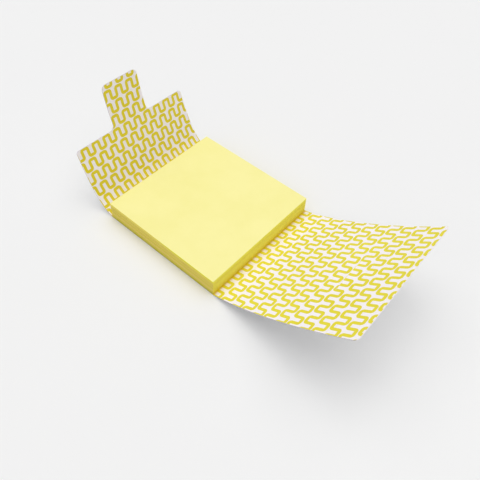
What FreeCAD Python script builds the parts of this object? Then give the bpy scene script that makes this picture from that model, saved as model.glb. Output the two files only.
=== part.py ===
import FreeCAD, Part
import math
import os

import Sketcher

# Sticky note pad in a printed card wrap, opened out.
# Frame: X runs from the tab flap to the front cover, Y along the folds, Z up.
# The origin is the centre of the underside of the card, below the pad of notes.
# Lengths are in millimetres and angles in degrees.

DIMENSIONS = [
    ("pad_width", 76.0, "note sheets, across the folds"),
    ("pad_depth", 76.0, "note sheets, along the folds"),
    ("pad_height", 10.3, "one hundred sheets"),
    ("card_thickness", 0.35, "wrap, folding card"),
    ("card_overhang", 0.5, "wrap, beyond the sheets at each end of the folds"),
    ("spine_clearance", 0.4, "wrap, spine panel beyond the height of the sheets"),
    ("cover_overhang", 1.3, "front cover, beyond the far side of the sheets when closed"),
    ("cover_bend_length", 20.0, "front cover, first stretch, which bends more"),
    ("cover_corner", 2.2, "front cover, corner radius"),
    ("flap_length", 30.6, "tab flap, from its spine to the shoulders"),
    ("flap_bend_length", 10.0, "tab flap, first stretch, which bends more"),
    ("flap_corner", 1.5, "tab flap, corner radius of the shoulders"),
    ("tab_length", 25.2, "tab, beyond the shoulders"),
    ("tab_width", 23.5, "tab, along the folds"),
    ("tab_corner", 2.8, "tab, corner radius of the tip"),
    ("tab_root", 3.0, "tab, fillet radius at the shoulders"),
    ("tab_clearance", 0.75, "slit, beyond the tab at each end"),
    ("tab_slack", 1.7, "tab flap, how far its shoulders pass the slit when closed"),
    ("slit_gap", 0.4, "slit, across"),
    ("cover_foot_angle", 15.6, "front side, slope where it leaves the table"),
    ("cover_spine_turn", 7.6, "front side, bend over the spine"),
    ("cover_bend_turn", 7.0, "front side, curl over the first stretch"),
    ("cover_turn", 10.3, "front side, curl from there to the free edge"),
    ("flap_foot_angle", 14.4, "tab side, slope where it leaves the table"),
    ("flap_spine_turn", 35.7, "tab side, bend over the spine"),
    ("flap_bend_turn", 14.7, "tab side, curl over the first stretch"),
    ("flap_turn", 18.5, "tab side, curl from there to the tip of the tab"),
]

# Sizes that follow the driving ones, as expressions for the features.
CARD_WIDTH = "(dims.pad_depth + 2 * dims.card_overhang)"
SPINE_WIDTH = "(dims.pad_height + dims.spine_clearance)"
SLIT_INSET = "(dims.flap_length + dims.cover_overhang - dims.tab_slack)"
COVER_REST = "(dims.pad_width + dims.cover_overhang - dims.cover_bend_length)"
SLIT_LENGTH = "(dims.tab_width + 2 * dims.tab_clearance)"
FLAP_REST = "(dims.flap_length - dims.flap_bend_length)"
FLAP_CURL = f"({FLAP_REST} + dims.tab_length)"
SHOULDER_SLOPE = (
    "(dims.flap_foot_angle + dims.flap_spine_turn + dims.flap_bend_turn"
    f" + dims.flap_turn * {FLAP_REST} / {FLAP_CURL})"
)
SLIT_SLOPE = (
    "(dims.cover_foot_angle + dims.cover_spine_turn + dims.cover_bend_turn"
    f" + dims.cover_turn * (1 - {SLIT_INSET} / {COVER_REST}))"
)

# The points of an edge in a sketch, and the sketch's own axes.
START, END, CENTRE = range(1, 4)
AXIS_X, AXIS_Y = range(-1, -3, -1)


def size(item, expression):
    """The present value of an expression."""
    return float(item.evalExpression(expression))


def make_sheet(doc):
    """The driving dimensions, one alias a row."""
    sheet = doc.addObject("Spreadsheet::Sheet", "dims")
    for row, (alias, value, meaning) in enumerate(DIMENSIONS, start=1):
        sheet.set(f"A{row}", alias)
        sheet.set(f"B{row}", str(value))
        sheet.set(f"C{row}", meaning)
        sheet.setAlias(f"B{row}", alias)
    doc.recompute()
    return sheet


def origin_plane(body, role):
    """One of the three planes of the body's own origin."""
    return next(f for f in body.Origin.OriginFeatures if f.Role == role)


def make_body(doc, label):
    body = doc.addObject("PartDesign::Body", label)
    body.Label = label
    return body


def make_sketch(body, name, role):
    sketch = body.newObject("Sketcher::SketchObject", name)
    sketch.AttachmentSupport = [(origin_plane(body, role), "")]
    sketch.MapMode = "FlatFace"
    return sketch


def bind(sketch, constraint, name, expression):
    """Add a named constraint whose value follows the sheet."""
    index = sketch.addConstraint(constraint)
    sketch.renameConstraint(index, name)
    sketch.setExpression(f"Constraints.{name}", expression)
    return index


def add_rectangle(sketch, corner, size):
    """A closed rectangle from its lowest corner; returns the index of its bottom edge."""
    x, y = corner
    wide, high = size
    points = [(x, y), (x + wide, y), (x + wide, y + high), (x, y + high)]
    first = len(sketch.Geometry)
    for number, (px, py) in enumerate(points):
        qx, qy = points[(number + 1) % 4]
        line = Part.LineSegment(FreeCAD.Vector(px, py, 0), FreeCAD.Vector(qx, qy, 0))
        sketch.addGeometry(line, False)
    for number in range(4):
        following = first + (number + 1) % 4
        sketch.addConstraint(Sketcher.Constraint("Coincident", first + number, END, following, START))
    for number in (0, 2):
        sketch.addConstraint(Sketcher.Constraint("Horizontal", first + number))
        sketch.addConstraint(Sketcher.Constraint("Vertical", first + number + 1))
    return first


def coincide(sketch, first, first_end, second, second_end):
    sketch.addConstraint(Sketcher.Constraint("Coincident", first, first_end, second, second_end))


def add_line(sketch, start, end, construction=False):
    return sketch.addGeometry(Part.LineSegment(start, end), construction)


def add_arc(sketch, centre, radius, low, high):
    circle = Part.Circle(centre, FreeCAD.Vector(0, 0, 1), radius)
    return sketch.addGeometry(Part.ArcOfCircle(circle, low, high), False)


class CardSide:
    """One side of the wrap in the profile: a crease at the foot of the pad, then curls of card.

    side is +1 for the front cover and -1 for the tab flap. Angles are slopes above the table. An arc
    in a sketch always runs counter-clockwise, so on the tab side each arc is met at its end.
    """

    def __init__(self, sketch, sheet, side, prefix):
        self.sketch = sketch
        self.side = side
        self.prefix = prefix
        self.near, self.far = (START, END) if side > 0 else (END, START)
        self.thick = sheet.card_thickness
        self.slope = 0.0
        self.point = FreeCAD.Vector(side * sheet.pad_width / 2, self.thick, 0)
        self.inner = None
        self.outer = None

    def span(self, turn):
        """The start and end angles of an arc that leaves the present slope and turns by so much."""
        low = self.slope - math.pi / 2
        high = low + turn
        return (low, high) if self.side > 0 else (math.pi - high, math.pi - low)

    def crease(self, base_top, base_bottom, foot_angle):
        """The fold at the foot: a sharp inner corner with the outer face bent round it."""
        sketch = self.sketch
        angle = math.radians(size(self.sketch, foot_angle))
        fold = add_arc(sketch, self.point, self.thick, *self.span(angle))
        coincide(sketch, fold, CENTRE, base_top, END if self.side > 0 else START)
        coincide(sketch, fold, self.near, base_bottom, END if self.side > 0 else START)
        sketch.addConstraint(Sketcher.Constraint("Vertical", fold, CENTRE, fold, self.near))
        bind(
            sketch,
            Sketcher.Constraint("Radius", fold, self.thick),
            f"{self.prefix}_fold_radius",
            "dims.card_thickness",
        )
        bind(
            sketch,
            Sketcher.Constraint("Angle", fold, angle),
            f"{self.prefix}_foot",
            f"{foot_angle} * 1 deg",
        )
        self.slope = angle
        self.outer = fold

    def curl(self, name, length, turn):
        """An arc of the card with its two faces; both sizes are expressions."""
        sketch = self.sketch
        angle = math.radians(size(self.sketch, turn))
        radius = size(self.sketch, length) / angle
        centre = self.point + FreeCAD.Vector(
            -self.side * radius * math.sin(self.slope), radius * math.cos(self.slope), 0
        )
        span = self.span(angle)
        inner = add_arc(sketch, centre, radius, *span)
        outer = add_arc(sketch, centre, radius + self.thick, *span)
        coincide(sketch, outer, CENTRE, inner, CENTRE)
        coincide(sketch, self.outer, self.far, outer, self.near)
        if self.inner is None:
            coincide(sketch, self.outer, CENTRE, inner, self.near)
            spoke = add_line(sketch, self.point, centre, True)
            coincide(sketch, spoke, START, inner, self.near)
            coincide(sketch, spoke, END, inner, CENTRE)
            sketch.addConstraint(
                Sketcher.Constraint("PointOnObject", self.outer, self.far, spoke)
            )
        else:
            sketch.addConstraint(
                Sketcher.Constraint("Tangent", self.inner, self.far, inner, self.near)
            )
        key = f"{self.prefix}_{name}"
        bind(
            sketch,
            Sketcher.Constraint("Radius", inner, radius),
            f"{key}_radius",
            f"{length} / ({turn} * pi / 180)",
        )
        for arc, face in ((inner, "inner"), (outer, "outer")):
            bind(
                sketch,
                Sketcher.Constraint("Angle", arc, angle),
                f"{key}_{face}_turn",
                f"{turn} * 1 deg",
            )
        self.slope += angle
        self.point = centre + FreeCAD.Vector(
            self.side * radius * math.sin(self.slope), -radius * math.cos(self.slope), 0
        )
        self.inner = inner
        self.outer = outer

    def close(self):
        """The cut edge of the card at the end of the last curl."""
        sketch = self.sketch
        cut = add_line(
            sketch,
            sketch.getPoint(self.inner, self.far),
            sketch.getPoint(self.outer, self.far),
        )
        coincide(sketch, cut, START, self.inner, self.far)
        coincide(sketch, cut, END, self.outer, self.far)

    def station(self, name, point):
        """Measure how far out and how high a point of the profile is, for later sketches to follow."""
        origin = (AXIS_X, START)
        across = (*origin, *point) if self.side > 0 else (*point, *origin)
        for key, direction, ends in (
            (f"{name}_reach", "DistanceX", across),
            (f"{name}_rise", "DistanceY", (*origin, *point)),
        ):
            index = self.sketch.addConstraint(Sketcher.Constraint(direction, *ends, 1.0))
            self.sketch.setDriving(index, False)
            self.sketch.renameConstraint(index, key)

    def end_station(self, name):
        self.station(name, (self.inner, self.far))

    def curl_station(self, name, slope):
        """Measure a point part of the way along the last curl, given by the card's slope there."""
        sketch = self.sketch
        angle = math.radians(size(self.sketch, slope))
        centre = sketch.getPoint(self.inner, CENTRE)
        radius = sketch.Geometry[self.inner].Radius
        point = centre + FreeCAD.Vector(
            self.side * radius * math.sin(angle), -radius * math.cos(angle), 0
        )
        spoke = add_line(sketch, point, centre, True)
        coincide(sketch, spoke, END, self.inner, CENTRE)
        sketch.addConstraint(Sketcher.Constraint("PointOnObject", spoke, START, self.inner))
        bind(
            sketch,
            Sketcher.Constraint("Angle", spoke, math.pi / 2 + self.side * angle),
            f"{name}_slope",
            f"90 deg + {self.side} * {slope} * 1 deg",
        )
        self.station(name, (spoke, START))


def make_profile(doc, body, sheet):
    """The whole wrap seen along Y, as one closed outline of the card's thickness."""
    profile = make_sketch(body, "card_profile", "XZ_Plane")
    half = sheet.pad_width / 2
    thick = sheet.card_thickness
    top = add_line(profile, FreeCAD.Vector(-half, thick, 0), FreeCAD.Vector(half, thick, 0))
    bottom = add_line(profile, FreeCAD.Vector(-half, 0, 0), FreeCAD.Vector(half, 0, 0))
    profile.addConstraint(Sketcher.Constraint("Horizontal", top))
    bind(
        profile,
        Sketcher.Constraint("DistanceY", AXIS_X, START, top, START, thick),
        "base_top",
        "dims.card_thickness",
    )
    bind(
        profile,
        Sketcher.Constraint("DistanceX", AXIS_X, START, top, END, half),
        "base_half",
        "dims.pad_width / 2",
    )
    bind(profile, Sketcher.Constraint("Distance", top, 2 * half), "base_width", "dims.pad_width")
    cover = CardSide(profile, sheet, 1, "cover")
    cover.crease(top, bottom, "dims.cover_foot_angle")
    cover.curl("spine", SPINE_WIDTH, "dims.cover_spine_turn")
    cover.curl("bend", "dims.cover_bend_length", "dims.cover_bend_turn")
    cover.curl("panel", COVER_REST, "dims.cover_turn")
    cover.close()
    cover.end_station("edge")
    cover.curl_station("slit", SLIT_SLOPE)
    flap = CardSide(profile, sheet, -1, "flap")
    flap.crease(top, bottom, "dims.flap_foot_angle")
    flap.curl("spine", SPINE_WIDTH, "dims.flap_spine_turn")
    flap.curl("bend", "dims.flap_bend_length", "dims.flap_bend_turn")
    flap.curl("upper", FLAP_CURL, "dims.flap_turn")
    flap.close()
    flap.end_station("tip")
    flap.curl_station("shoulder", SHOULDER_SLOPE)
    doc.recompute()
    return profile


def make_card_sketch(body, name, station, side, slope):
    """A sketch lying on the card at a station of the profile; its x runs away from the pad or to it."""
    sketch = make_sketch(body, name, "XY_Plane")
    sketch.setExpression("AttachmentOffset.Rotation.Axis.y", "1")
    sketch.setExpression("AttachmentOffset.Rotation.Axis.z", "0")
    sketch.setExpression("AttachmentOffset.Rotation.Angle", f"{-side} * {slope} * 1 deg")
    reach = f"card_profile.Constraints.{station}_reach"
    sketch.setExpression("AttachmentOffset.Base.x", f"{side} * {reach}")
    sketch.setExpression("AttachmentOffset.Base.z", f"card_profile.Constraints.{station}_rise")
    return sketch


def add_cut(doc, body, name, outline, depth):
    """Cut an outline through the card, as deep on both sides of the sketch."""
    before = body.Shape.Volume
    cut = body.newObject("PartDesign::Pocket", name)
    cut.Profile = outline
    cut.Midplane = True
    cut.setExpression("Length", depth)
    doc.recompute()
    if not body.Shape.Volume < before:
        raise RuntimeError(f"{name} removes nothing")


def corner_edges(shape, longest, test):
    """The names of the short edges across the card's thickness whose middle passes the test."""
    names = []
    for number, edge in enumerate(shape.Edges, start=1):
        if edge.Length < longest and test(edge.CenterOfMass):
            names.append(f"Edge{number}")
    return names


def add_fillet(doc, body, name, radius_alias, sheet, test):
    """Round a pair of corners of the blank, one on each side of the middle."""
    base = body.Tip
    names = corner_edges(base.Shape, 2 * sheet.card_thickness, test)
    if len(names) != 2:
        raise RuntimeError(f"{name}: {len(names)} corners found")
    fillet = body.newObject("PartDesign::Fillet", name)
    fillet.Base = (base, names)
    fillet.Radius = sheet.get(radius_alias)
    fillet.setExpression("Radius", f"dims.{radius_alias}")
    doc.recompute()


def make_note_pad(doc, sheet):
    """The block of note sheets, stuck by its lowest sheet to the card."""
    body = make_body(doc, "note_pad")
    outline = make_sketch(body, "sheet_outline", "XY_Plane")
    outline.setExpression("AttachmentOffset.Base.z", "dims.card_thickness * 1 mm")
    wide, deep = sheet.pad_width, sheet.pad_depth
    first = add_rectangle(outline, (-wide / 2, -deep / 2), (wide, deep))
    outline.addConstraint(
        Sketcher.Constraint("Symmetric", first, START, first + 1, END, AXIS_X, START)
    )
    bind(outline, Sketcher.Constraint("Distance", first, wide), "wide", "dims.pad_width")
    bind(outline, Sketcher.Constraint("Distance", first + 1, deep), "deep", "dims.pad_depth")
    stack = body.newObject("PartDesign::Pad", "sheet_stack")
    stack.Profile = outline
    stack.setExpression("Length", "dims.pad_height")
    doc.recompute()
    return body


def cut_beside_tab(doc, body, sheet):
    """Cut the card away on both sides of the tab, from the shoulders to past the tip."""
    outline = make_card_sketch(body, "beside_tab", "shoulder", -1, SHOULDER_SLOPE)
    inner = sheet.tab_width / 2
    wide = size(sheet, CARD_WIDTH)
    long = 2 * sheet.tab_length
    for side, key in ((1, "far"), (-1, "near")):
        low = inner if side > 0 else -inner - wide
        first = add_rectangle(outline, (-long, low), (long, wide))
        right, top = first + 1, first + 2
        outline.addConstraint(Sketcher.Constraint("PointOnObject", right, START, AXIS_Y))
        if side > 0:
            ends = (AXIS_X, START, right, START)
        else:
            ends = (right, END, AXIS_X, START)
        bind(
            outline,
            Sketcher.Constraint("DistanceY", *ends, inner),
            f"{key}_side",
            "dims.tab_width / 2",
        )
        bind(outline, Sketcher.Constraint("Distance", right, wide), f"{key}_wide", CARD_WIDTH)
        bind(outline, Sketcher.Constraint("Distance", top, long), f"{key}_long", "2 * dims.tab_length")
    add_cut(doc, body, "tab_cut", outline, "dims.tab_length * 1 mm")


def cut_slit(doc, body, sheet):
    """Cut the slit that holds the tab when the wrap is closed."""
    outline = make_card_sketch(body, "slit_outline", "slit", 1, SLIT_SLOPE)
    long = size(sheet, SLIT_LENGTH)
    gap = sheet.slit_gap
    first = add_rectangle(outline, (-gap / 2, -long / 2), (gap, long))
    corner = (AXIS_X, START, first + 1, END)
    bind(outline, Sketcher.Constraint("DistanceX", *corner, gap / 2), "half_gap", "dims.slit_gap / 2")
    bind(
        outline,
        Sketcher.Constraint("DistanceY", *corner, long / 2),
        "half_length",
        f"{SLIT_LENGTH} / 2",
    )
    bind(outline, Sketcher.Constraint("Distance", first, gap), "gap", "dims.slit_gap")
    bind(outline, Sketcher.Constraint("Distance", first + 1, long), "long", SLIT_LENGTH)
    add_cut(doc, body, "slit_cut", outline, "10 * dims.card_thickness * 1 mm")


def round_corners(doc, body, profile, sheet):
    """Round the corners of the blank, each pair found by where it lies on the card."""
    near = 2 * sheet.card_thickness
    card_width = size(sheet, CARD_WIDTH)

    def pair_at(station, side, width):
        reach = side * profile.getDatum(f"{station}_reach").Value
        rise = profile.getDatum(f"{station}_rise").Value

        def test(point):
            place = math.hypot(point.x - reach, point.z - rise)
            return place < near and abs(abs(point.y) - width / 2) < near

        return test

    for name, radius_alias, test in (
        ("cover_corners", "cover_corner", pair_at("edge", 1, card_width)),
        ("shoulder_corners", "flap_corner", pair_at("shoulder", -1, card_width)),
        ("tab_roots", "tab_root", pair_at("shoulder", -1, sheet.tab_width)),
        ("tab_tips", "tab_corner", pair_at("tip", -1, sheet.tab_width)),
    ):
        add_fillet(doc, body, name, radius_alias, sheet, test)


def make_wrap_cover(doc, sheet):
    """The wrap, one folded sheet of card with a tab at one end and a slit near the other."""
    body = make_body(doc, "wrap_cover")
    profile = make_profile(doc, body, sheet)
    strip = body.newObject("PartDesign::Pad", "card_strip")
    strip.Profile = profile
    strip.Midplane = True
    strip.setExpression("Length", CARD_WIDTH)
    doc.recompute()
    cut_beside_tab(doc, body, sheet)
    cut_slit(doc, body, sheet)
    round_corners(doc, body, profile, sheet)
    return body


def check_model(doc, bodies):
    """Stop before anything is written if a feature failed or a shape is not one valid solid."""
    for item in doc.Objects:
        if "Invalid" in item.State or "Error" in item.State:
            raise RuntimeError(f"{item.Name} failed: {item.State}")
    for body in bodies:
        shape = body.Shape
        if shape.isNull() or not shape.isValid() or len(shape.Solids) != 1:
            raise RuntimeError(f"{body.Label} is not one valid solid")


def main():
    doc = FreeCAD.newDocument("sticky_note_pad")
    sheet = make_sheet(doc)
    bodies = [make_note_pad(doc, sheet), make_wrap_cover(doc, sheet)]
    doc.recompute()
    check_model(doc, bodies)
    os.makedirs("parts", exist_ok=True)
    for body in bodies:
        body.Shape.exportStep(os.path.join("parts", f"{body.Label}.step"))
        box = body.Shape.BoundBox
        print(
            body.Label,
            f"volume {body.Shape.Volume:.1f}",
            f"x {box.XMin:.2f} {box.XMax:.2f}",
            f"y {box.YMin:.2f} {box.YMax:.2f}",
            f"z {box.ZMin:.2f} {box.ZMax:.2f}",
        )


main()
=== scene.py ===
import math

import bpy
import numpy as np
from mathutils import Matrix, Vector


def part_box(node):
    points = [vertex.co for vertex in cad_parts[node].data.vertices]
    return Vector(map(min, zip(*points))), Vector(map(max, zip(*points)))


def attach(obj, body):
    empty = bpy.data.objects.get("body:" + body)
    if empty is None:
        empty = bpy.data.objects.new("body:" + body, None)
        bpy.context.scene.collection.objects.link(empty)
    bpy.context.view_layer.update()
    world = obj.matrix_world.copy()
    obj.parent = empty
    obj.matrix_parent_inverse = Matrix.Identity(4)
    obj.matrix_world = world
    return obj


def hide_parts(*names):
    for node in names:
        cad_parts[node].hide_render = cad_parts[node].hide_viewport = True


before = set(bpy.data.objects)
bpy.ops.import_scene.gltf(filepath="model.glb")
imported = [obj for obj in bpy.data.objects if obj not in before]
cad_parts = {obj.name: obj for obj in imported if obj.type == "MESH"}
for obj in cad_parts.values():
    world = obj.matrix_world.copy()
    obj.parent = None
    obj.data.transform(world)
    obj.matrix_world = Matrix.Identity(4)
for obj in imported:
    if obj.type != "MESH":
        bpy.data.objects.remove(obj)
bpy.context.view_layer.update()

# Lengths are in millimetres until a mesh is made, and angles in degrees.
MM = 0.001

# The two solids in the frame: the block of notes and the card that it lies on.
pad_low, pad_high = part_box("note_pad")
card_low, card_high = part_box("wrap_cover")
PAD_HALF = round((pad_high.x - pad_low.x) / 2 / MM, 3)
PAD_BOTTOM = round(pad_low.z / MM, 3)
PAD_TOP = round(pad_high.z / MM, 3)
CARD_HALF = round((card_high.y - card_low.y) / 2 / MM, 3)
CARD_THICKNESS = PAD_BOTTOM

# The sheets lie a little towards the near side of the card. Each is a bit smaller than its solid, and
# they drift and jitter out of line within a limit.
PAD_SHIFT = (0.0, -0.1)
SHEETS = 100
SHEET_THICKNESS = (PAD_TOP - PAD_BOTTOM) / SHEETS
SHEET_INSET = 0.02
SHEET_INSET_RANGE = 0.05
SHEET_DRIFT = 0.012
SHEET_JITTER = 0.015
SHEET_LIMIT = 0.06
SHEET_SEED = 7

# Lengths along the card, past the foot of the block, and the tab that ends the flap.
COVER_LENGTH = 88.0
COVER_CORNER = 2.0
SHOULDER = 41.3
SHOULDER_CORNER = 1.5
TAB_LENGTH = 25.2
TAB_HALF = 11.75
TAB_CORNER = 2.8
# Flare of the tab at its root, (along the tab, along the shoulder), on each side.
ROOT_NEAR = (2.9, 2.9)
ROOT_FAR = (3.6, 2.5)
# How far each side of the card is cut inside that of its solid, at runs from the middle of its base.
CARD_CUT_AT = (
    (-(PAD_HALF + SHOULDER), 0.7),
    (-(PAD_HALF + 20.0), 0.4),
    (-PAD_HALF, 0.1),
    (PAD_HALF, 0.1),
    (PAD_HALF + 12.0, 0.15),
    (PAD_HALF + COVER_LENGTH, 0.05),
)
# How much shorter the cover is at its far corner than at its near one, from this far past the slit.
COVER_SKEW = 0.7
COVER_SKEW_START = 4.0

# The slit, and how far its two lips stand off the card's curl.
SLIT_AT = 57.8
SLIT_GAP = 0.4
SLIT_HALF = 12.5
LIP_DROP = 1.1
LIP_LIFT = 0.65
LIP_FADE = 4.0

# Slope of the card at the foot of the block, then the (length, turn) of each curl after it.
COVER_FOOT = 15.6
COVER_CURLS = ((10.7, 7.6), (20.0, 7.0), (57.3, 10.3))
FLAP_FOOT = 14.4
FLAP_CURLS = ((10.7, 35.7), (10.0, 14.7), (45.8, 18.5))
# The slope starts as a share of itself and is whole after the first short run.
FOOT_RUN = 0.4
FOOT_SHARE = 0.35
CURL_STEP = 0.05
CURL_SMOOTHING = 3.0

# The unevenness of the card: how far past the block it starts, over how long it comes in, how far it
# lifts the card, and its waves, each a (size, turn along, turn across, start) in radians.
RIPPLE_START = 8.0
RIPPLE_FADE = 30.0
RIPPLE_LIFT = 0.1
RIPPLE_SIZE = 0.06
RIPPLE_WAVES = ((1.0, 0.093, 0.061, 0.7), (0.6, 0.05, -0.115, 2.1))

# Runs from the middle of the base, and the limits of the strip that carries the tab and the slit.
TIP_RUN = -(PAD_HALF + SHOULDER + TAB_LENGTH)
SHOULDER_RUN = -(PAD_HALF + SHOULDER)
SLIT_RUN = PAD_HALF + SLIT_AT
EDGE_RUN = PAD_HALF + COVER_LENGTH
STRIP_NEAR = -(TAB_HALF + ROOT_NEAR[1])
STRIP_FAR = TAB_HALF + ROOT_FAR[1]

# The meshes: cells along each side of the block, and on the card the length of a row, the rows of its
# corners and the columns of its strips.
SHEET_CELLS = 16
ROW_STEP = 1.2
CORNER_ROWS = 7
ROOT_ROWS = 9
ROOT_COLUMNS = 2
SLIT_COLUMNS = 22
WING_COLUMNS = 18
# Millimetres of the flat card in one unit of its map.
MAP_UNIT = 100.0

# Material slots of the two meshes, and the angle above which an edge is drawn sharp.
INNER_FACE, OUTER_FACE, CUT_EDGE = 0, 1, 2
SHEET_FACE, SHEET_EDGES = 0, 1
SHARP_ANGLE = 40

# The printed repeat: columns of a meander along the folds, every second column dropped by half a lane.
PRINT_COLUMN = 7.25
PRINT_LANE = 3.675
PRINT_STROKE = 1.75
PRINT_BEND = 0.95
PRINT_GAP = 0.35
PRINT_BLUR = 0.08
PRINT_WOBBLE = 0.06
# Runs between which the painted yellow shade in each crease fades out, and how much painted shade
# darkens the flap.
CREASE_SHADE_FADE = (PAD_HALF + 0.4, PAD_HALF + 1.6)
FLAP_SHADE = 0.45
# How far past the block the painted olive shade on the card's cut edge fades out.
BLOCK_SHADE_REACH = 8.0

# Heights on the cut edges of the sheets: where the painted band of light at the top comes in, where the
# painted shade at the foot clears at first and then further up, and where the painted golden reflection
# fades out.
GLOW_BAND_RISE = (PAD_TOP - 1.7, PAD_TOP - 0.5)
FOOT_SHADE_CLEARS_FIRST = (0.4, 1.6)
FOOT_SHADE_CLEARS_LAST = (1.6, 5.0)
GOLD_BOUNCE_FADE = (0.4, 4.5)
# Places along X between which the painted band of light turns from pale to strong yellow.
GLOW_BAND_TURN = (-4.0, 12.0)
# Distance from the middle of a sheet, in sheets, at which the gap beside it begins and is darkest, and
# how dark the painted shade in the gap gets.
GAP_RANGE = (0.38, 0.5)
GAP_SHADE_DEPTH = 0.5
# How much painted light brightens the ends of the block, and how far its streaks drift in a metre along
# a side.
END_PAINTED_LIGHT = 0.8
STREAK_DRIFT = 6.0

# The range that most of a noise lies in, and the narrower one of soft clouds.
NOISE_RANGE = (0.3, 0.7)
CLOUD_RANGE = (0.35, 0.65)

# Colours as the screen shows them, 0 to 255. A surface that varies has a pair of shades.
NOTE_SHADES = ((249, 242, 160), (252, 245, 168))
NOTE_FIBRE = (240, 230, 150)
EDGE_SHADES = ((251, 237, 112), (255, 243, 130))
EDGE_OLIVE = (232, 222, 60)
EDGE_PEACH = (252, 218, 142)
# The next six are painted light and shade on the sheets' edges: shade in the gaps, light on the ends, a
# golden reflection at the foot of the ends, dark shade at the foot, and a band of light along the top.
EDGE_GAP_SHADE = (200, 178, 52)
EDGE_END_LIT = (255, 249, 102)
EDGE_GOLD_BOUNCE = (252, 226, 30)
EDGE_FOOT_SHADE = (120, 104, 30)
GLOW_BAND_SHADES = ((255, 240, 112), (251, 247, 12))
GLOW_BAND_END = (255, 252, 122)
WHITE_SHADES = ((252, 246, 250), (255, 250, 254))
YELLOW_SHADES = ((232, 218, 46), (238, 225, 60))
YELLOW_GRAIN = (240, 228, 100)
# The next four are painted shade: on the flap, in the creases beside the block, and on the rims of the
# base that the block leaves bare.
FLAP_SHADED_WHITE = (238, 234, 246)
FLAP_SHADED_YELLOW = (218, 192, 16)
CREASE_SHADE_YELLOW = (224, 190, 4)
BASE_RIM_SHADE = (196, 188, 62)
BOARD_SHADES = ((232, 231, 230), (238, 237, 236))
BOARD_GRAIN = (228, 226, 226)
# The cut edge of the card: its own pale colour greyed by painted shade, painted lit white where it faces
# along +X, and painted olive shade beside the block.
CUT_SHADED_GREYS = ((192, 184, 194), (212, 204, 214))
CUT_LIT_END = (250, 245, 249)
CUT_BLOCK_SHADE = (184, 176, 88)
FLOOR_SHADES = ((241.5, 241.5, 241.5), (242.5, 242.5, 242.5))
BACKGROUND = (242, 242, 242)

# The floor: half its width, and how far it lies below the object.
FLOOR_HALF = 3000.0
FLOOR_DROP = 0.1

# Shares of the light on the open floor, which make up one; the lamps even out the tint of the sky.
# Each lamp is its name, azimuth from +X, elevation, share and width.
SKY = 0.445
SKY_TINT = (0.975, 0.99, 1.035)
LAMPS = (
    ("lamp_left", 180, 65, 0.2, 50),
    ("lamp_back", 90, 65, 0.18, 50),
    ("lamp_right", 0, 65, 0.115, 50),
    ("lamp_near_right", -50, 35, 0.03, 40),
    ("lamp_near", -100, 35, 0.03, 40),
)

# The camera: where it stands about the point that it looks at, and its focal length in pixels.
CAMERA_AZIMUTH = 38.655
CAMERA_ELEVATION = 51.15
CAMERA_ROLL = 3.154
CAMERA_TARGET = (25.104, -2.992, CARD_THICKNESS)
CAMERA_DISTANCE = 286.593
FOCAL_PIXELS = 530
PICTURE_PIXELS = 480
SENSOR_WIDTH = 36.0
CLIP_START = 10.0
CLIP_END = 20000.0


def side_path(foot, curls):
    """Stations along one side of the card: run, reach beyond the fold, rise and slope in radians."""
    total = sum(length for length, _ in curls)
    runs = np.arange(0.0, total + CURL_STEP / 2, CURL_STEP)
    knots = [0.0]
    slopes = [foot]
    for length, turn in curls:
        knots.append(knots[-1] + length)
        slopes.append(slopes[-1] + turn)
    slope = np.interp(runs, knots, slopes)
    # The slope is averaged over a short run, so that the curls blend into each other.
    half = int(CURL_SMOOTHING / CURL_STEP / 2)
    before = 2 * slope[0] - slope[half:0:-1]
    after = 2 * slope[-1] - slope[-2:-half - 2:-1]
    window = np.ones(2 * half + 1) / (2 * half + 1)
    slope = np.convolve(np.concatenate([before, slope, after]), window, mode="valid")
    slope = np.radians(slope * np.clip(runs / FOOT_RUN, FOOT_SHARE, 1.0))
    step = np.diff(runs, prepend=0.0)
    reach = np.cumsum(np.cos(slope) * step)
    rise = np.cumsum(np.sin(slope) * step)
    return runs, reach, rise, slope


COVER_PATH = side_path(COVER_FOOT, COVER_CURLS)
FLAP_PATH = side_path(FLAP_FOOT, FLAP_CURLS)


def card_frame(u):
    """Where the inner face of the card is at u, the run from the middle of the base, and its normal."""
    side = 1.0 if u >= 0 else -1.0
    run = abs(u) - PAD_HALF
    if run <= 0:
        return Vector((u, 0, CARD_THICKNESS)), Vector((0, 0, 1))
    runs, reach, rise, slope = COVER_PATH if side > 0 else FLAP_PATH
    x = side * (PAD_HALF + np.interp(run, runs, reach))
    z = CARD_THICKNESS + np.interp(run, runs, rise)
    angle = np.interp(run, runs, slope)
    return Vector((x, 0, z)), Vector((-side * math.sin(angle), 0, math.cos(angle)))


def lip(u, v):
    """How far the card beside the slit stands off its curl."""
    if abs(v) >= SLIT_HALF or u < PAD_HALF:
        return 0.0
    off = u - SLIT_RUN
    middle = 1 - (v / SLIT_HALF) ** 2
    size = LIP_LIFT if off > 0 else -LIP_DROP
    return size * middle * math.exp(-max(abs(off) - SLIT_GAP / 2, 0) / LIP_FADE)


def ripple(u, v):
    """The slight unevenness of a card that has been folded and opened, fading to nothing at the base."""
    away = min(max((abs(u) - PAD_HALF - RIPPLE_START) / RIPPLE_FADE, 0.0), 1.0)
    wave = 0.0
    for size, along, across, start in RIPPLE_WAVES:
        wave += size * math.sin(along * u + across * v + start)
    return away * (RIPPLE_LIFT + RIPPLE_SIZE * wave)


def half_width(u):
    """Half the card's width at a run: it was cut a little unevenly."""
    return CARD_HALF - float(np.interp(u, *zip(*CARD_CUT_AT)))


def skewed(u, v):
    """The run at v of a row that is at u along the near side: the free edge is cut slightly askew."""
    start = SLIT_RUN + COVER_SKEW_START
    past = min(max((u - start) / (EDGE_RUN - start), 0.0), 1.0)
    return u - COVER_SKEW * past * (v + PAD_HALF) / (2 * PAD_HALF)


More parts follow.
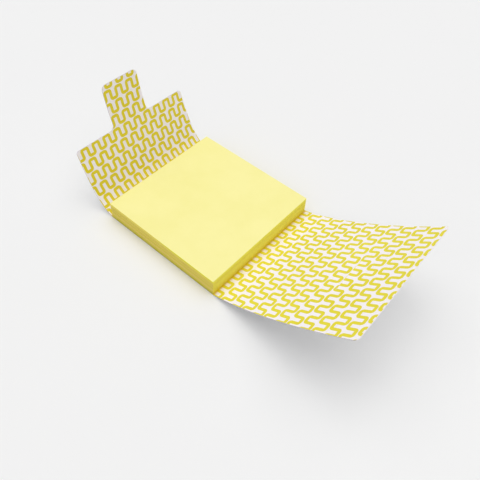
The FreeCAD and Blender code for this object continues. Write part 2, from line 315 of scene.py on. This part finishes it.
def corner_rows(radius):
    """Rows of a rounded corner from its end inwards: how far from the end, and how much shorter."""
    quarter = np.linspace(0, math.pi / 2, CORNER_ROWS)
    return [(radius * (1 - math.cos(angle)), radius * (1 - math.sin(angle))) for angle in quarter]


def root_half(beyond, root):
    """Half the tab's width at a distance beyond the shoulders, with the flare at its root."""
    along, across = root
    if beyond >= along:
        return TAB_HALF
    return TAB_HALF + across * (1 - math.sqrt(1 - ((along - beyond) / along) ** 2))


def stations(start, end):
    """Evenly spaced runs after start, about a row apart, the last of them at end."""
    count = max(round((end - start) / ROW_STEP), 1)
    return [start + (end - start) * k / count for k in range(1, count + 1)]


def tab_rows():
    """Rows of the tab, from its tip to the flare at its root, in the form that card_rows gives."""
    rows = []
    for past, shorter in corner_rows(TAB_CORNER):
        rows.append((TIP_RUN + past, -(TAB_HALF - shorter), TAB_HALF - shorter, None))
    for u in stations(TIP_RUN + TAB_CORNER, SHOULDER_RUN - ROOT_FAR[0]):
        rows.append((u, -TAB_HALF, TAB_HALF, None))
    for angle in np.linspace(0, math.pi / 2, ROOT_ROWS)[1:-1]:
        beyond = ROOT_FAR[0] * (1 - math.sin(angle))
        near = -root_half(beyond, ROOT_NEAR)
        rows.append((SHOULDER_RUN - beyond, near, root_half(beyond, ROOT_FAR), None))
    return rows


def card_rows():
    """Rows across the card from the tip of the tab to the edge of the cover.

    Each row is its run u, the near and far limits of the middle strip, and half the card's width
    there, which is None beside the tab.
    """
    rows = tab_rows()
    for past, shorter in corner_rows(SHOULDER_CORNER):
        u = SHOULDER_RUN + past
        rows.append((u, STRIP_NEAR, STRIP_FAR, half_width(u) - shorter))
    stops = (
        SHOULDER_RUN + SHOULDER_CORNER,
        -PAD_HALF - FOOT_RUN,
        -PAD_HALF,
        PAD_HALF,
        PAD_HALF + FOOT_RUN,
        SLIT_RUN - SLIT_GAP / 2,
        SLIT_RUN + SLIT_GAP / 2,
        EDGE_RUN - COVER_CORNER,
    )
    for start, end in zip(stops, stops[1:]):
        for u in stations(start, end):
            rows.append((u, STRIP_NEAR, STRIP_FAR, half_width(u)))
    # The last row of the corner is already there, and the others come in reverse.
    for past, shorter in corner_rows(COVER_CORNER)[-2::-1]:
        u = EDGE_RUN - past
        rows.append((u, STRIP_NEAR, STRIP_FAR, half_width(u) - shorter))
    return rows


def card_points(rows):
    """Points of the flat card as (run, place across), and for each row their numbers by column.

    Columns of the middle strip count from zero. Those of the near wing are negative, and those of
    the far wing follow the strip's.
    """
    middle = np.concatenate(
        [
            np.linspace(STRIP_NEAR, -SLIT_HALF, ROOT_COLUMNS + 1)[:-1],
            np.linspace(-SLIT_HALF, SLIT_HALF, SLIT_COLUMNS + 1),
            np.linspace(SLIT_HALF, STRIP_FAR, ROOT_COLUMNS + 1)[1:],
        ]
    )
    wing = np.linspace(0, 1, WING_COLUMNS + 1)[1:]
    points = []
    grid = []
    for u, low, high, half in rows:
        line = {}
        for k, v in enumerate(middle):
            line[k] = v * (high / STRIP_FAR if v > 0 else low / STRIP_NEAR)
        if half is not None:
            for k, part in enumerate(wing, start=1):
                line[-k] = low + (-half - low) * part
                line[len(middle) - 1 + k] = high + (half - high) * part
        numbers = {}
        for k, v in line.items():
            numbers[k] = len(points)
            points.append((skewed(u, v), v))
        grid.append(numbers)
    return points, grid


def card_quads(rows, points, grid):
    """Faces of the flat card, with the slit left open."""
    quads = []
    for (u, *_), (u_next, *_), row, above in zip(rows, rows[1:], grid, grid[1:]):
        across_slit = u < SLIT_RUN < u_next
        for k in sorted(row):
            if k + 1 not in row or k not in above or k + 1 not in above:
                continue
            centre = (points[row[k]][1] + points[row[k + 1]][1]) / 2
            if across_slit and abs(centre) < SLIT_HALF:
                continue
            quads.append((row[k], above[k], above[k + 1], row[k + 1]))
    return quads


def make_card():
    """The curled card as a closed mesh of its inner face, its outer face and the cut edge between them."""
    rows = card_rows()
    points, grid = card_points(rows)
    quads = card_quads(rows, points, grid)
    inner = []
    outer = []
    for u, v in points:
        place, normal = card_frame(u)
        off = lip(u, v) + ripple(u, v)
        inner.append(place + normal * off + Vector((0, v, 0)))
        outer.append(place + normal * (off - CARD_THICKNESS) + Vector((0, v, 0)))

    # An edge that only one quad has is on the rim.
    edges = dict.fromkeys(edge for quad in quads for edge in zip(quad, quad[1:] + quad[:1]))
    rim = [(a, b) for a, b in edges if (b, a) not in edges]
    count = len(points)
    faces = list(quads)
    faces += [tuple(count + k for k in reversed(quad)) for quad in quads]
    faces += [(b, a, count + a, count + b) for a, b in rim]
    slots = [INNER_FACE] * len(quads) + [OUTER_FACE] * len(quads) + [CUT_EDGE] * len(rim)
    return [p * MM for p in inner + outer], faces, slots, points + points


def sheet_ring():
    """Points round a square that reaches one unit each way, from its near left corner."""
    along = np.linspace(-1, 1, SHEET_CELLS + 1)[:-1]
    return (
        [(a, -1.0) for a in along]
        + [(1.0, a) for a in along]
        + [(-a, 1.0) for a in along]
        + [(-1.0, -a) for a in along]
    )


def sheet_loops(ring):
    """Points round the bottom and then the top of each sheet, from the lowest sheet upwards."""
    rng = np.random.default_rng(SHEET_SEED)
    drift = np.cumsum(rng.normal(0, SHEET_DRIFT, (SHEETS, 2)), axis=0)
    drift -= drift.mean(axis=0)
    points = []
    for sheet in range(SHEETS):
        half = PAD_HALF - (SHEET_INSET + SHEET_INSET_RANGE * rng.random())
        play = drift[sheet] + rng.normal(0, SHEET_JITTER, 2)
        dx, dy = np.clip(play, -SHEET_LIMIT, SHEET_LIMIT) + PAD_SHIFT
        low = PAD_BOTTOM + sheet * SHEET_THICKNESS
        for z in (low, low + SHEET_THICKNESS):
            points += [(half * x + dx, half * y + dy, z) for x, y in ring]
    return points


def sheet_cap(ring, points, base, up):
    """Quads across the loop that starts at base, whose inner points are added to the others."""
    left, near, z = points[base]
    right = points[base + SHEET_CELLS][0]
    far = points[base + 2 * SHEET_CELLS][1]
    cells = {}
    for k, (x, y) in enumerate(ring):
        cells[(round((x + 1) * SHEET_CELLS / 2), round((y + 1) * SHEET_CELLS / 2))] = base + k
    for i in range(1, SHEET_CELLS):
        x = left + (right - left) * i / SHEET_CELLS
        for j in range(1, SHEET_CELLS):
            y = near + (far - near) * j / SHEET_CELLS
            cells[(i, j)] = len(points)
            points.append((x, y, z))
    quads = []
    for i in range(SHEET_CELLS):
        for j in range(SHEET_CELLS):
            quad = (cells[(i, j)], cells[(i + 1, j)], cells[(i + 1, j + 1)], cells[(i, j + 1)])
            quads.append(quad if up else quad[::-1])
    return quads


def make_notes():
    """One closed block whose sides step in and out a little from sheet to sheet."""
    ring = sheet_ring()
    points = sheet_loops(ring)
    count = len(ring)
    last = len(points) - count
    sides = []
    for base in range(0, last, count):
        for k in range(count):
            after = (k + 1) % count
            sides.append((base + k, base + after, base + count + after, base + count + k))
    caps = sheet_cap(ring, points, 0, False) + sheet_cap(ring, points, last, True)
    slots = [SHEET_EDGES] * len(sides) + [SHEET_FACE] * len(caps)
    return [Vector(p) * MM for p in points], sides + caps, slots


def mesh_object(name, verts, faces, slots, materials, flat=None):
    """An object in the scene, with a map of each point's place on the flat card where flat is given."""
    mesh = bpy.data.meshes.new(name)
    mesh.from_pydata([tuple(v) for v in verts], [], faces)
    for material in materials:
        mesh.materials.append(material)
    mesh.polygons.foreach_set("material_index", slots)
    mesh.polygons.foreach_set("use_smooth", [True] * len(faces))
    if flat is not None:
        layer = mesh.uv_layers.new(name="sheet")
        corners = np.empty(len(mesh.loops), dtype=np.int32)
        mesh.loops.foreach_get("vertex_index", corners)
        layer.data.foreach_set("uv", (np.array(flat)[corners] / MAP_UNIT).ravel())
    mesh.set_sharp_from_angle(angle=math.radians(SHARP_ANGLE))
    mesh.validate()
    mesh.update()
    item = bpy.data.objects.new(name, mesh)
    bpy.context.scene.collection.objects.link(item)
    return item


def linear(colour):
    """A colour of the screen as the shader wants it."""
    channels = []
    for value in colour:
        value /= 255
        channels.append(value / 12.92 if value <= 0.04045 else ((value + 0.055) / 1.055) ** 2.4)
    return (*channels, 1.0)


class Nodes:
    """A small helper that adds nodes to a material and links them."""

    def __init__(self, name):
        self.material = bpy.data.materials.new(name)
        self.material.use_nodes = True
        self.tree = self.material.node_tree
        self.shader = self.tree.nodes["Principled BSDF"]

    def add(self, kind, inputs=(), **settings):
        node = self.tree.nodes.new(kind)
        for key, value in settings.items():
            setattr(node, key, value)
        for key, value in dict(inputs).items():
            self.put(node.inputs[key], value)
        return node

    def put(self, socket, value):
        if isinstance(value, bpy.types.NodeSocket):
            self.tree.links.new(value, socket)
        else:
            socket.default_value = value

    def place(self):
        return self.add("ShaderNodeTexCoord").outputs["Object"]

    def normal(self):
        return self.add("ShaderNodeTexCoord").outputs["Normal"]

    def axes(self, vector):
        return self.add("ShaderNodeSeparateXYZ", {0: vector}).outputs

    def math(self, operation, a, b=0.0, c=0.0):
        return self.add("ShaderNodeMath", {0: a, 1: b, 2: c}, operation=operation).outputs[0]

    def length(self, x, y):
        return self.math("SQRT", self.math("MULTIPLY_ADD", x, x, self.math("MULTIPLY", y, y)))

    def from_middle(self, value):
        """The fraction of a value, counted from one half."""
        return self.math("SUBTRACT", self.math("FRACT", value), 0.5)

    def odd(self, value):
        """One where the whole part of a value is odd, and zero where it is even."""
        return self.math("FLOORED_MODULO", self.math("FLOOR", value), 2.0)

    def switch(self, test, no, yes):
        return self.add("ShaderNodeMix", {0: test, 2: no, 3: yes}, data_type="FLOAT").outputs[0]

    def mix(self, factor, a, b):
        return self.add("ShaderNodeMix", {0: factor, 6: a, 7: b}, data_type="RGBA").outputs[2]

    def shades(self, factor, pair):
        """A colour from the first of a pair to the second."""
        return self.mix(factor, linear(pair[0]), linear(pair[1]))

    def tint(self, share, under, colour):
        """A share of one plain colour laid over what is under it."""
        return self.mix(share, under, linear(colour))

    def ramp(self, value, source, target=(0.0, 1.0)):
        """A value carried from one range over to another, and kept within it."""
        limits = {"From Min": source[0], "From Max": source[1], "To Min": target[0], "To Max": target[1]}
        return self.add("ShaderNodeMapRange", {"Value": value, **limits}).outputs[0]

    def noise(self, place, scale, detail, roughness=0.55):
        return self.add(
            "ShaderNodeTexNoise",
            {"Vector": place, "Scale": scale, "Detail": detail, "Roughness": roughness},
        ).outputs[0]

    def bump(self, height, strength, distance):
        return self.add(
            "ShaderNodeBump", {"Height": height, "Strength": strength, "Distance": distance * MM}
        ).outputs[0]

    def finish(self, colour, roughness, specular, normal=None):
        self.put(self.shader.inputs["Base Color"], colour)
        self.put(self.shader.inputs["Roughness"], roughness)
        self.shader.inputs["Specular IOR Level"].default_value = specular
        if normal is not None:
            self.put(self.shader.inputs["Normal"], normal)
        return self.material


def note_face():
    """The face of a note: soft yellow paper, faintly clouded, with fibres."""
    nodes = Nodes("note_sheet")
    place = nodes.place()
    cloud = nodes.noise(place, scale=55.0, detail=4.0)
    fibre = nodes.noise(place, scale=2600.0, detail=3.0, roughness=0.7)
    colour = nodes.shades(nodes.ramp(cloud, CLOUD_RANGE), NOTE_SHADES)
    colour = nodes.tint(nodes.ramp(fibre, NOISE_RANGE, (0.0, 0.1)), colour, NOTE_FIBRE)
    rough = nodes.ramp(fibre, NOISE_RANGE, (0.82, 0.94))
    relief = nodes.bump(fibre, strength=0.12, distance=0.05)
    return nodes.finish(colour, roughness=rough, specular=0.25, normal=relief)


def streaks(nodes, along, height, scale, start):
    """A pattern that changes quickly with height and slowly along the side of the block."""
    place = nodes.math("MULTIPLY_ADD", height, scale, start)
    place = nodes.math("MULTIPLY_ADD", along, STREAK_DRIFT, place)
    return nodes.add(
        "ShaderNodeTexNoise", {"W": place, "Scale": 1.0, "Detail": 2.0}, noise_dimensions="1D"
    ).outputs[0]


def painted_band_and_foot_shade(nodes, colour, x, height, on_end):
    """The colour of a side with a painted band of light at its top and painted shade at its foot, with a
    painted golden reflection on an end.
    """
    # A band of light is painted along the top, with a pale yellow of its own on the ends.
    turn = nodes.ramp(x, [at * MM for at in GLOW_BAND_TURN])
    glow_colour = nodes.tint(on_end, nodes.shades(turn, GLOW_BAND_SHADES), GLOW_BAND_END)
    colour = nodes.mix(nodes.ramp(height, GLOW_BAND_RISE, (0.0, 0.85)), colour, glow_colour)
    # A golden reflection is painted at the foot of the ends.
    gold_bounce = nodes.math("MULTIPLY", nodes.ramp(height, GOLD_BOUNCE_FADE, (0.75, 0.0)), on_end)
    colour = nodes.tint(gold_bounce, colour, EDGE_GOLD_BOUNCE)
    # Shade is painted dark at the foot of every side.
    clear = nodes.ramp(height, FOOT_SHADE_CLEARS_FIRST, (0.8, 0.93))
    clear = nodes.math("MINIMUM", clear, nodes.ramp(height, FOOT_SHADE_CLEARS_LAST, (0.93, 1.0)))
    return nodes.mix(clear, linear(EDGE_FOOT_SHADE), colour)


def note_edges():
    """The cut edges of the sheets: fine lines, each sheet a little different, with painted shade in the
    gaps.
    """
    nodes = Nodes("note_edges")
    x, y, z = nodes.axes(nodes.place())
    height = nodes.math("MULTIPLY", z, 1 / MM)
    level = nodes.math("DIVIDE", nodes.math("SUBTRACT", height, PAD_BOTTOM), SHEET_THICKNESS)
    sheet = nodes.math("FLOOR", level)
    each = nodes.add("ShaderNodeTexWhiteNoise", {"W": sheet}, noise_dimensions="1D").outputs[0]
    gap = nodes.ramp(nodes.math("ABSOLUTE", nodes.from_middle(level)), GAP_RANGE)
    along = nodes.math("ADD", x, y)
    olive = nodes.ramp(streaks(nodes, along, height, scale=0.95, start=0.0), (0.46, 0.56), (0.0, 0.65))
    peach = nodes.ramp(streaks(nodes, along, height, scale=0.8, start=40.0), (0.5, 0.58), (0.0, 0.7))
    colour = nodes.shades(each, EDGE_SHADES)
    colour = nodes.tint(olive, colour, EDGE_OLIVE)
    colour = nodes.tint(peach, colour, EDGE_PEACH)
    # Shade is painted into the gaps between the sheets.
    colour = nodes.tint(nodes.math("MULTIPLY", gap, GAP_SHADE_DEPTH), colour, EDGE_GAP_SHADE)

    # The ends of the block are the two sides that face along X. Painted light makes them clearer and
    # brighter.
    facing_x, _, _ = nodes.axes(nodes.normal())
    on_end = nodes.math("ABSOLUTE", facing_x)
    colour = nodes.tint(nodes.math("MULTIPLY", on_end, END_PAINTED_LIGHT), colour, EDGE_END_LIT)
    colour = painted_band_and_foot_shade(nodes, colour, x, height, on_end)
    rough = nodes.ramp(each, (0.0, 1.0), (0.8, 0.95))
    relief = nodes.bump(nodes.math("SUBTRACT", each, gap), strength=0.35, distance=0.04)
    return nodes.finish(colour, roughness=rough, specular=0.2, normal=relief)


def meander_ink(nodes, u, v):
    """Where the ink is on the flat card: each column holds a line that runs to and fro across it."""
    column = nodes.math("DIVIDE", u, PRINT_COLUMN)
    across = nodes.math("MULTIPLY", nodes.from_middle(column), PRINT_COLUMN)
    drop = nodes.odd(column)
    lane = nodes.math("DIVIDE", nodes.math("MULTIPLY_ADD", drop, PRINT_LANE / 2, v), PRINT_LANE)
    turn = nodes.math("MULTIPLY_ADD", nodes.odd(lane), -2.0, 1.0)
    across = nodes.math("MULTIPLY", across, turn)
    down = nodes.math("MULTIPLY", nodes.math("ABSOLUTE", nodes.from_middle(lane)), PRINT_LANE)

    # The line runs along both edges of a lane. A bend closes one end of the lane, and at the other end
    # the line turns away into the bends of the lanes beside it.
    straight = (PRINT_COLUMN - PRINT_GAP - PRINT_STROKE) / 2 - PRINT_BEND
    x = nodes.math("SUBTRACT", across, straight)
    y = nodes.math("SUBTRACT", down, PRINT_LANE / 2 - PRINT_BEND)
    outside = nodes.length(nodes.math("MAXIMUM", x, 0.0), nodes.math("MAXIMUM", y, 0.0))
    inside = nodes.math("MINIMUM", nodes.math("MAXIMUM", x, y), 0.0)
    closed = nodes.math("ADD", outside, inside)
    x = nodes.math("MAXIMUM", nodes.math("SUBTRACT", -straight, across), 0.0)
    y = nodes.math("SUBTRACT", PRINT_LANE / 2 + PRINT_BEND, down)
    opened = nodes.length(x, y)
    from_line = nodes.switch(nodes.math("GREATER_THAN", across, 0.0), opened, closed)
    from_line = nodes.math("ABSOLUTE", nodes.math("SUBTRACT", from_line, PRINT_BEND))
    edge = PRINT_STROKE / 2
    return nodes.ramp(from_line, (edge - PRINT_BLUR, edge + PRINT_BLUR), (1.0, 0.0))


def printed_face():
    """The inside of the card, on which the block lies: white, printed with a plain meander in yellow."""
    nodes = Nodes("card_print")
    spot = nodes.add("ShaderNodeUVMap", uv_map="sheet").outputs[0]
    along, across, _ = nodes.axes(spot)
    wobble = nodes.noise(spot, scale=60.0, detail=2.0)
    wobble = nodes.ramp(wobble, NOISE_RANGE, (-PRINT_WOBBLE, PRINT_WOBBLE))
    u = nodes.math("MULTIPLY_ADD", along, MAP_UNIT, wobble)
    v = nodes.math("MULTIPLY", across, MAP_UNIT)
    ink = meander_ink(nodes, u, v)

    place = nodes.place()
    cloud = nodes.noise(place, scale=40.0, detail=3.0)
    grain = nodes.noise(place, scale=3000.0, detail=2.0, roughness=0.6)
    white = nodes.shades(nodes.ramp(grain, NOISE_RANGE), WHITE_SHADES)
    yellow = nodes.shades(nodes.ramp(cloud, NOISE_RANGE), YELLOW_SHADES)
    yellow = nodes.tint(nodes.ramp(grain, (0.45, 0.75), (0.0, 0.2)), yellow, YELLOW_GRAIN)
    # The flap is painted darker and cooler, as shade.
    flap_shade = nodes.math("MULTIPLY", nodes.math("LESS_THAN", along, 0.0), FLAP_SHADE)
    white = nodes.tint(flap_shade, white, FLAP_SHADED_WHITE)
    yellow = nodes.tint(flap_shade, yellow, FLAP_SHADED_YELLOW)
    colour = nodes.mix(ink, white, yellow)

    # Painted shade with a yellow reflection lies in the creases beside the block, and painted olive shade
    # on the rims of the base that it leaves bare.
    run = nodes.math("MULTIPLY", nodes.math("ABSOLUTE", along), MAP_UNIT)
    crease_shade = nodes.ramp(run, CREASE_SHADE_FADE, (0.88, 0.0))
    on_base = nodes.math("LESS_THAN", run, PAD_HALF)
    colour = nodes.mix(crease_shade, colour, nodes.shades(on_base, (CREASE_SHADE_YELLOW, BASE_RIM_SHADE)))

    rough = nodes.ramp(grain, NOISE_RANGE, (0.52, 0.62))
    rough = nodes.math("SUBTRACT", rough, nodes.math("MULTIPLY", ink, 0.06))
    relief = nodes.bump(grain, strength=0.06, distance=0.03)
    return nodes.finish(colour, roughness=rough, specular=0.3, normal=relief)


def plain_face():
    """The outside of the card: bare board of a light grey-white."""
    nodes = Nodes("card_back")
    place = nodes.place()
    cloud = nodes.noise(place, scale=35.0, detail=4.0)
    grain = nodes.noise(place, scale=2400.0, detail=3.0, roughness=0.65)
    colour = nodes.shades(nodes.ramp(cloud, CLOUD_RANGE), BOARD_SHADES)
    colour = nodes.tint(nodes.ramp(grain, (0.5, 0.8), (0.0, 0.15)), colour, BOARD_GRAIN)
    rough = nodes.ramp(grain, NOISE_RANGE, (0.62, 0.75))
    relief = nodes.bump(grain, strength=0.1, distance=0.04)
    return nodes.finish(colour, roughness=rough, specular=0.3, normal=relief)


def cut_edge():
    """The cut edge of the card: grey with painted shade along the sides, painted lit white at the free
    end, and painted olive shade by the block.
    """
    nodes = Nodes("card_cut")
    place = nodes.place()
    fibre = nodes.noise(place, scale=1800.0, detail=3.0, roughness=0.7)
    # The grey is the edge's own pale colour darkened by painted shade.
    colour = nodes.shades(nodes.ramp(fibre, NOISE_RANGE), CUT_SHADED_GREYS)
    facing_x, _, _ = nodes.axes(nodes.normal())
    # Where the edge faces along +X it is painted lit white.
    colour = nodes.tint(nodes.ramp(facing_x, (0.3, 0.6)), colour, CUT_LIT_END)
    # Beside the block the edge is painted olive, as shade.
    x, _, _ = nodes.axes(place)
    reach = (PAD_HALF * MM, (PAD_HALF + BLOCK_SHADE_REACH) * MM)
    colour = nodes.tint(nodes.ramp(nodes.math("ABSOLUTE", x), reach, (1.0, 0.0)), colour, CUT_BLOCK_SHADE)
    relief = nodes.bump(fibre, strength=0.3, distance=0.05)
    return nodes.finish(colour, roughness=0.9, specular=0.2, normal=relief)


def make_floor():
    """A plain pale floor just below the object."""
    nodes = Nodes("studio_floor")
    colour = nodes.shades(nodes.noise(nodes.place(), scale=8.0, detail=2.0), FLOOR_SHADES)
    material = nodes.finish(colour, roughness=0.95, specular=0.0)
    half = FLOOR_HALF * MM
    low = -FLOOR_DROP * MM
    corners = [(-half, -half, low), (half, -half, low), (half, half, low), (-half, half, low)]
    floor = mesh_object("floor", corners, [(0, 1, 2, 3)], [0], [material])


def make_sky():
    """An even sky, which the camera sees as a plain pale background."""
    world = bpy.data.worlds.new("studio")
    bpy.context.scene.world = world
    world.use_nodes = True
    tree = world.node_tree
    tree.nodes.clear()
    path = tree.nodes.new("ShaderNodeLightPath")
    fill = tree.nodes.new("ShaderNodeBackground")
    fill.inputs["Color"].default_value = (*SKY_TINT, 1)
    fill.inputs["Strength"].default_value = SKY
    seen = tree.nodes.new("ShaderNodeBackground")
    seen.inputs["Color"].default_value = linear(BACKGROUND)
    seen.inputs["Strength"].default_value = 1.0
    pick = tree.nodes.new("ShaderNodeMixShader")
    out = tree.nodes.new("ShaderNodeOutputWorld")
    tree.links.new(path.outputs["Is Camera Ray"], pick.inputs[0])
    tree.links.new(fill.outputs[0], pick.inputs[1])
    tree.links.new(seen.outputs[0], pick.inputs[2])
    tree.links.new(pick.outputs[0], out.inputs[0])


def make_lamps():
    """Wide soft lamps, each strong enough for its share of the light on the open floor."""
    for name, azimuth, elevation, share, width in LAMPS:
        data = bpy.data.lights.new(name, "SUN")
        azimuth, elevation = math.radians(azimuth), math.radians(elevation)
        toward = Vector((math.cos(azimuth), math.sin(azimuth), math.tan(elevation))).normalized()
        data.energy = math.pi * share / toward.z
        data.color = [(1 - SKY * tint) / (1 - SKY) for tint in SKY_TINT]
        data.angle = math.radians(width)
        lamp = bpy.data.objects.new(name, data)
        lamp.rotation_euler = toward.to_track_quat("Z", "Y").to_euler()
        bpy.context.scene.collection.objects.link(lamp)


def make_camera():
    """The camera of the photo, as fitted to the corners of the block."""
    azimuth = math.radians(CAMERA_AZIMUTH)
    elevation = math.radians(CAMERA_ELEVATION)
    roll = math.radians(CAMERA_ROLL)
    back = Vector(
        (
            math.sin(azimuth) * math.cos(elevation),
            -math.cos(azimuth) * math.cos(elevation),
            math.sin(elevation),
        )
    )
    level = Vector((math.cos(azimuth), math.sin(azimuth), 0))
    upright = back.cross(level)
    right = math.cos(roll) * level + math.sin(roll) * upright
    up = -math.sin(roll) * level + math.cos(roll) * upright
    place = Vector(CAMERA_TARGET) + back * CAMERA_DISTANCE
    data = bpy.data.cameras.new("camera")
    data.sensor_width = SENSOR_WIDTH
    data.lens = FOCAL_PIXELS / PICTURE_PIXELS * SENSOR_WIDTH
    data.clip_start = CLIP_START * MM
    data.clip_end = CLIP_END * MM
    camera = bpy.data.objects.new("camera", data)
    turn = Matrix((right, up, back)).transposed().to_4x4()
    camera.matrix_world = Matrix.Translation(place * MM) @ turn
    bpy.context.scene.collection.objects.link(camera)
    bpy.context.scene.camera = camera


card_verts, card_faces, card_slots, card_flat = make_card()
card_materials = [printed_face(), plain_face(), cut_edge()]
card = mesh_object("card_wrap", card_verts, card_faces, card_slots, card_materials, card_flat)
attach(card, "root")
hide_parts("wrap_cover")

note_verts, note_faces, note_slots = make_notes()
note_materials = [note_face(), note_edges()]
notes = mesh_object("note_sheets", note_verts, note_faces, note_slots, note_materials)
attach(notes, "root")
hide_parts("note_pad")

make_floor()
make_sky()
make_lamps()
make_camera()

bpy.context.scene.view_settings.view_transform = "Standard"
